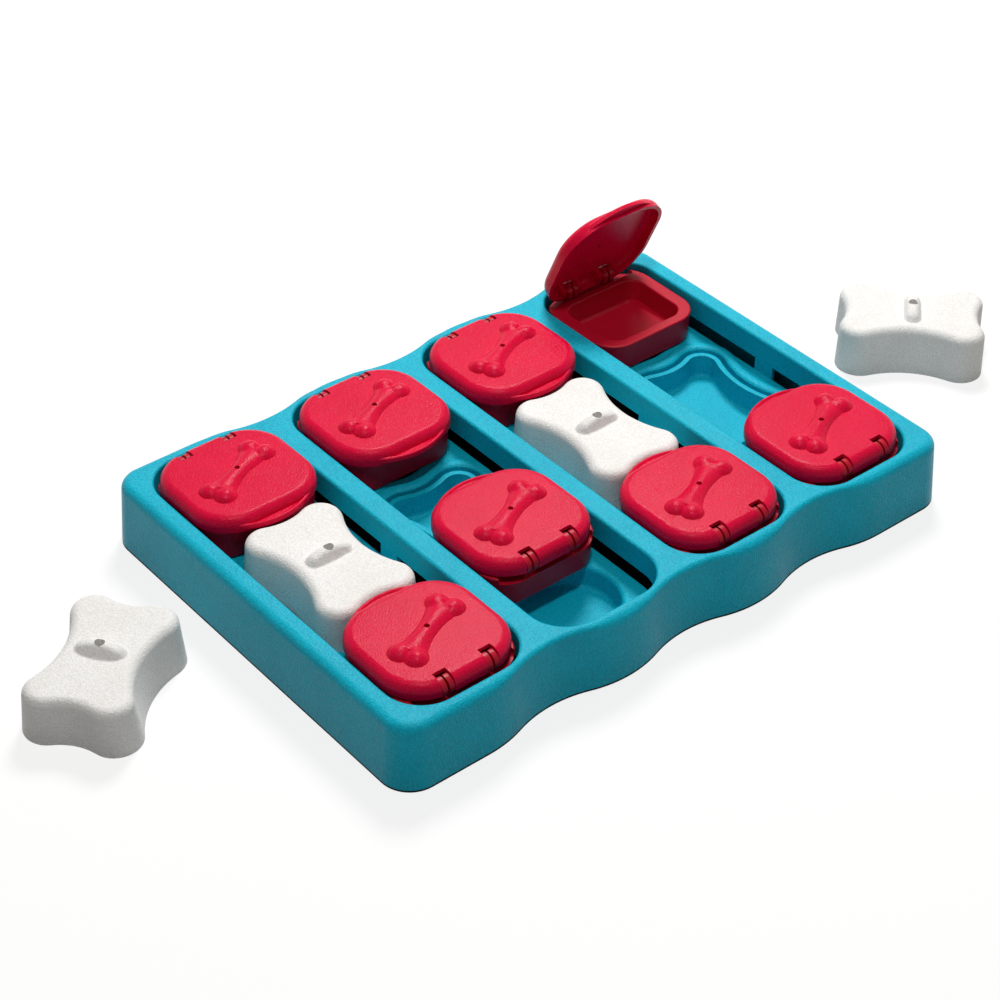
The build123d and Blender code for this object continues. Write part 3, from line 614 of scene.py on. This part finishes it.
def moulded(name, base, dark, roughness, grain=0.0, grain_size=0.4, pit_shade=0.0, specular=0.3):
    """Moulded plastic whose tone drifts faintly, with a grain that scatters its highlight.

    grain is the grain's depth and grain_size its width, both in millimetres; the next argument says
    how much darker the grain's pits are painted than its peaks, as painted shade. A real grain is
    finer: this one is as coarse as it has to be to show.
    """
    material = bpy.data.materials.new(name)
    material.use_nodes = True
    tree = material.node_tree
    shader = tree.nodes["Principled BSDF"]
    where = add_node(tree, "ShaderNodeTexCoord").outputs["Object"]
    drift = add_node(
        tree, "ShaderNodeTexNoise", {"Scale": 1 / (DRIFT_SIZE * MM), "Detail": 3.0}, {"Vector": where},
    ).outputs["Fac"]
    fine = add_node(
        tree, "ShaderNodeTexNoise", {"Scale": 1 / (grain_size * MM), "Detail": 2.0}, {"Vector": where},
    ).outputs["Fac"]
    # the grain's pits are painted darker than its peaks: painted shade, not a colour of the plastic
    pit_darkening = add_node(
        tree, "ShaderNodeMapRange",
        {"From Min": 0.3, "From Max": 0.7, "To Min": -0.5 * pit_shade, "To Max": 0.5 * pit_shade},
        {"Value": fine},
    ).outputs["Result"]
    amount = add_node(
        tree, "ShaderNodeMath", {"operation": "ADD", "use_clamp": True}, {0: drift, 1: pit_darkening},
    ).outputs["Value"]
    mix = add_node(
        tree, "ShaderNodeMix", {"data_type": "RGBA", 6: colour(dark), 7: colour(base)}, {0: amount},
    ).outputs[2]
    tree.links.new(mix, shader.inputs["Base Color"])
    shader.inputs["Roughness"].default_value = roughness
    shader.inputs["Specular IOR Level"].default_value = specular
    if grain:
        bump = add_node(
            tree, "ShaderNodeBump", {"Strength": 1.0, "Distance": grain * MM}, {"Height": fine},
        ).outputs["Normal"]
        tree.links.new(bump, shader.inputs["Normal"])
    return material


# every finish but the rubber has painted shade in the pits of its grain
finish = {
    # turquoise polypropylene from a spark-eroded mould: matt, with a fine sparkle
    "tray": moulded(
        "grained_turquoise_polypropylene", "12BCD4", "0AA4BE", 0.32,
        grain=0.36, grain_size=0.8, pit_shade=1.3, specular=0.1,
    ),
    # crimson polypropylene from a nearly polished mould: smooth, with a soft gloss
    "box": moulded(
        "smooth_crimson_polypropylene", "C4122E", "AD0C26", 0.35,
        grain=0.04, grain_size=0.8, pit_shade=0.4, specular=0.16,
    ),
    # brighter crimson polypropylene from a spark-eroded mould: a satin skin, mottled by a faint drift
    # of tone and by painted shade in its grain's pits
    "lid": moulded(
        "grained_crimson_polypropylene", "E60A40", "D00634", 0.24,
        grain=0.18, grain_size=0.75, pit_shade=1.3, specular=0.08,
    ),
    # off-white polypropylene with the tray's grain: chalky and dull
    "bone": moulded(
        "grained_white_polypropylene", "F6F4F1", "E6E3DD", 0.5,
        grain=0.36, grain_size=0.8, pit_shade=1.2, specular=0.2,
    ),
    # moulded black rubber: dull and plain
    "foot": moulded("black_rubber", "2A2A2A", "1E1E1E", 0.8),
}
for part in frame["record"]["subparts"]:
    node = frame["nodes"][part["node"]]
    for slot in node.material_slots:
        slot.material = finish[part["material_slot"]]


# ------------------------------------------------------------------ the dressed part
SHARP_ANGLE = 38
SLID = {(2, "front"): 39.3}  # mm that a box is pushed in from home
OPEN = {(4, "back"): 66.0}   # degrees that a lid stands open


def show(name, shape, place, slot, body, *nodes):
    """Puts a copy of a shape, in millimetres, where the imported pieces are, and hides them."""
    mesh = shape.copy()
    mesh.transform(Matrix.Scale(MM, 4) @ place)
    mesh.materials.clear()
    mesh.materials.append(finish[slot])
    mesh.shade_smooth()
    mesh.set_sharp_from_angle(angle=math.radians(SHARP_ANGLE))
    piece = bpy.data.objects.new(name, mesh)
    bpy.context.scene.collection.objects.link(piece)
    weighted = piece.modifiers.new("normals", "WEIGHTED_NORMAL")
    weighted.keep_sharp = True
    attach(piece, body)
    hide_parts(*nodes)


LANE_NODES = [f"lane_{lane}" for lane in (1, 2, 3, 4)]
WELL_NODES = [f"bone_well_{lane}" for lane in (1, 2, 3, 4)]
WELL_NODES += [f"round_well_{lane}_{end}" for lane in (1, 2, 3, 4) for end in ("front", "back")]
TRAY_NODES = ["tray_shell", "middle_boss", *LANE_NODES, *WELL_NODES]
show("moulded_tray", tray_shape(), Matrix.Identity(4), "tray", "base", *TRAY_NODES)

drawer, lid, cap = drawer_shape(), lid_shape(), cap_shape()
hinge_line = Matrix.Translation((0, HINGE_Y, HINGE_Z))
for lane, x in enumerate(LANES, 1):
    for end, half_turn in (("front", 0), ("back", math.pi)):
        at = Matrix.Translation((x, 0, 0)) @ Matrix.Rotation(half_turn, 4, "Z")
        at = at @ Matrix.Translation((0, SLID.get((lane, end), 0), 0))
        which = f"{lane}_{end}"
        show(f"treat_box_{which}", drawer, at, "box", f"drawer_{which}", f"box_{which}")
        swing = Matrix.Rotation(math.radians(OPEN.get((lane, end), 0)), 4, "X")
        at = at @ hinge_line @ swing @ hinge_line.inverted()
        show(f"flip_lid_{which}", lid, at, "lid", f"cover_{which}", f"lid_{which}")

# where each cap stands, and its turn in degrees: two in their wells, two on the table
CAPS = {
    "1": (LANES[0], 0, GROOVE_FLOOR, 0), "3": (LANES[2], 0, GROOVE_FLOOR, 0),
    "left": (-222.0, 21.0, 0, -54), "right": (239.5, -15.5, 0, 44),
}
for which, (x, y, z, degrees) in CAPS.items():
    at = Matrix.Translation((x, y, z)) @ Matrix.Rotation(math.radians(degrees), 4, "Z")
    show(f"bone_cap_{which}", cap, at, "bone", f"cap_{which}", f"bone_{which}")

# ------------------------------------------------------------------ camera
AZIMUTH, ELEVATION = math.radians(-39.4596), math.radians(38.2037)
DISTANCE = 1165.655 * MM
TARGET = Vector((-4.104, 18.934, 0)) * MM
ROLL = math.radians(0.40865)
LENS, SENSOR = 88.168, 36
back = Vector((
    math.sin(AZIMUTH) * math.cos(ELEVATION),
    -math.cos(AZIMUTH) * math.cos(ELEVATION),
    math.sin(ELEVATION),
))
camera_data = bpy.data.cameras.new("camera")
camera_data.lens = LENS
camera_data.sensor_width = SENSOR
camera = bpy.data.objects.new("camera", camera_data)
bpy.context.scene.collection.objects.link(camera)
camera.matrix_world = (
    Matrix.Translation(TARGET + back * DISTANCE)
    @ back.to_track_quat("Z", "Y").to_matrix().to_4x4()
    @ Matrix.Rotation(ROLL, 4, "Z")
)
bpy.context.scene.camera = camera

# ------------------------------------------------------------------ floor and light
FLOOR_REACH = 6              # metres
# the dark sheet of painted shade under the tray lies this high
SHADE_SHEET_HEIGHT = 0.2           # mm over the floor
FLOOR_LIT = (0.26, 0.255, 0.25, 1)
FLOOR_GLOW = 0.76
FLOOR_DIM = (0.45, 0.45, 0.45, 1)
WORLD_DIM = 0.18
WHITE = (1, 1, 1, 1)


def put_on_stage(name, bm):
    """Makes a bmesh, in metres, an object in the scene with a material of its own."""
    mesh = bpy.data.meshes.new(name)
    bm.to_mesh(mesh)
    piece = bpy.data.objects.new(name, mesh)
    bpy.context.scene.collection.objects.link(piece)
    material = bpy.data.materials.new(name)
    material.use_nodes = True
    mesh.materials.append(material)
    return material.node_tree


def seen_directly(tree):
    """One for rays from the camera and for those it follows through a mirror or glass."""
    rays = add_node(tree, "ShaderNodeLightPath").outputs
    mirrored = add_node(
        tree, "ShaderNodeMath", {"operation": "MAXIMUM"},
        {0: rays["Is Glossy Ray"], 1: rays["Is Transmission Ray"]},
    ).outputs["Value"]
    return add_node(
        tree, "ShaderNodeMath", {"operation": "MAXIMUM"}, {0: rays["Is Camera Ray"], 1: mirrored},
    ).outputs["Value"]


def white_floor():
    """The camera sees it white but for the shadows; to the object it is a dim pale surface."""
    bm = bmesh.new()
    bmesh.ops.create_grid(bm, x_segments=1, y_segments=1, size=FLOOR_REACH)
    tree = put_on_stage("floor", bm)
    seen = seen_directly(tree)
    lit = add_node(tree, "ShaderNodeBsdfDiffuse", {"Color": FLOOR_LIT}).outputs["BSDF"]
    glow = add_node(
        tree, "ShaderNodeEmission", {"Color": WHITE, "Strength": FLOOR_GLOW},
    ).outputs["Emission"]
    bright = add_node(tree, "ShaderNodeAddShader", None, {0: lit, 1: glow}).outputs["Shader"]
    dim = add_node(tree, "ShaderNodeBsdfDiffuse", {"Color": FLOOR_DIM}).outputs["BSDF"]
    both = add_node(tree, "ShaderNodeMixShader", None, {0: seen, 1: dim, 2: bright}).outputs["Shader"]
    tree.links.new(both, tree.nodes["Material Output"].inputs["Surface"])


def painted_shade_floor():
    """A dark sheet on the floor under the tray, painted shade: it shows dark through the guide slots
    and as a thin painted contact shadow under the skirt.
    """
    bm = bmesh.new()
    skirt(bm, SHADE_SHEET_HEIGHT)
    bm.transform(Matrix.Scale(MM, 4))
    shader = put_on_stage("painted_shade_floor", bm).nodes["Principled BSDF"]
    # dark brown of the painted shade under the tray
    shader.inputs["Base Color"].default_value = colour("241C18")
    shader.inputs["Roughness"].default_value = 0.9


def lamp(name, azimuth, elevation, distance, size, watts):
    """A round soft lamp, sizes in metres, aimed at the tray; azimuth turns from +X to +Y."""
    data = bpy.data.lights.new(name, "AREA")
    data.shape = "DISK"
    data.size = size
    data.energy = watts
    light = bpy.data.objects.new(name, data)
    bpy.context.scene.collection.objects.link(light)
    azimuth, elevation = math.radians(azimuth), math.radians(elevation)
    place = distance * Vector((
        math.cos(azimuth) * math.cos(elevation), math.sin(azimuth) * math.cos(elevation),
        math.sin(elevation),
    ))
    aim = place.to_track_quat("Z", "Y").to_matrix().to_4x4()
    light.matrix_world = Matrix.Translation(place) @ aim


def white_world():
    """The camera sees it white; the object is lit by a dim share of it."""
    world = bpy.data.worlds.new("world")
    bpy.context.scene.world = world
    world.use_nodes = True
    tree = world.node_tree
    level = add_node(
        tree, "ShaderNodeMapRange", {"To Min": WORLD_DIM, "To Max": 1.0},
        {"Value": seen_directly(tree)},
    ).outputs["Result"]
    tree.nodes["Background"].inputs["Color"].default_value = WHITE
    tree.links.new(level, tree.nodes["Background"].inputs["Strength"])


white_floor()
# a dark sheet of painted shade under the tray
painted_shade_floor()
lamp("key", azimuth=46, elevation=56, distance=1.35, size=0.4, watts=14)
lamp("front", azimuth=-125, elevation=76, distance=1.6, size=0.2, watts=7)
white_world()
bpy.context.scene.view_settings.view_transform = "Standard"
